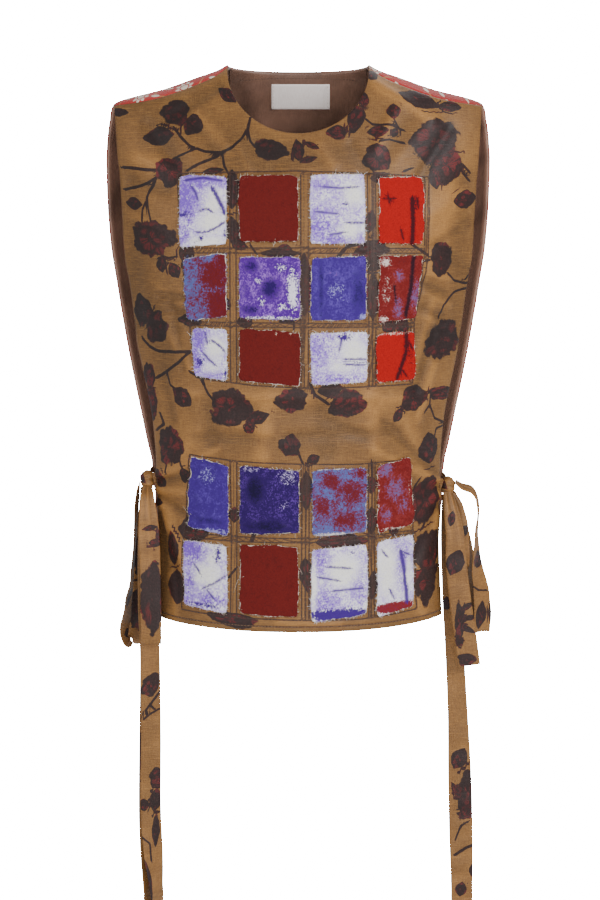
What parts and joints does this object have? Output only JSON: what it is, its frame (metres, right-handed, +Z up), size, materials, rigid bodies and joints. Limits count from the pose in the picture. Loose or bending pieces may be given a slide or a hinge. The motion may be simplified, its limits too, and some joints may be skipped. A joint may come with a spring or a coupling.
{
  "type": "side-tied tabard waistcoat, open and hollow as worn",
  "caption": "Sleeveless tabard waistcoat held open as worn: patchwork silk front, brocade back, bows at the waist.",
  "frame": {"origin": "on the shoulder ridge, midway between the two neck points, where the wearer's shoulders hold the garment", "axes": "+Z up along the garment's length, -Y out of the front, +X to the wearer's left"},
  "size_m": [0.3918, 0.2073, 0.8845],
  "materials": {
    "printed_silk": "slubbed bronze-gold silk with a dark printed flower pattern, soft sheen",
    "brocade": "red brocade with a cream woven flower repeat",
    "lining": "plain brown satin-weave lining",
    "label_tape": "bare cream woven tape",
    "white_violet_patch": "white cloth dyed with violet clouds, raw edges",
    "dark_red_patch": "dark red cloth, raw edges",
    "bright_red_patch": "bright red cloth with a dark stroke, raw edges",
    "blue_red_patch": "blue cloth mottled with dark red, raw edges",
    "violet_patch": "violet cloud-dyed cloth, raw edges",
    "blue_violet_patch": "blue-violet cloth with darker bands, raw edges",
    "tie_silk": "the front's printed silk, folded into flat ties"
  },
  "bodies": {
    "root": {"front_panel": "printed_silk", "back_panel": "brocade", "back_lining": "lining", "neck_label": "label_tape", "patch_upper_1_1": "white_violet_patch", "patch_upper_1_2": "dark_red_patch", "patch_upper_1_3": "white_violet_patch", "patch_upper_1_4": "bright_red_patch", "patch_upper_2_1": "blue_red_patch", "patch_upper_2_2": "violet_patch", "patch_upper_2_3": "blue_violet_patch", "patch_upper_2_4": "dark_red_patch", "patch_upper_3_1": "white_violet_patch", "patch_upper_3_2": "dark_red_patch", "patch_upper_3_3": "white_violet_patch", "patch_upper_3_4": "bright_red_patch", "patch_lower_1_1": "blue_violet_patch", "patch_lower_1_2": "violet_patch", "patch_lower_1_3": "blue_red_patch", "patch_lower_1_4": "dark_red_patch", "patch_lower_2_1": "white_violet_patch", "patch_lower_2_2": "dark_red_patch", "patch_lower_2_3": "white_violet_patch", "patch_lower_2_4": "white_violet_patch", "left_knot": "tie_silk", "left_stub_front": "tie_silk", "left_stub_back": "tie_silk", "left_loop_front": "tie_silk", "left_loop_outer": "tie_silk", "left_tail_front": "tie_silk", "left_tail_back": "tie_silk", "right_knot": "tie_silk", "right_stub_front": "tie_silk", "right_stub_back": "tie_silk", "right_loop_outer": "tie_silk", "right_loop_inner": "tie_silk", "right_tail_short": "tie_silk", "right_tail_long": "tie_silk"}
  },
  "joints": []
}
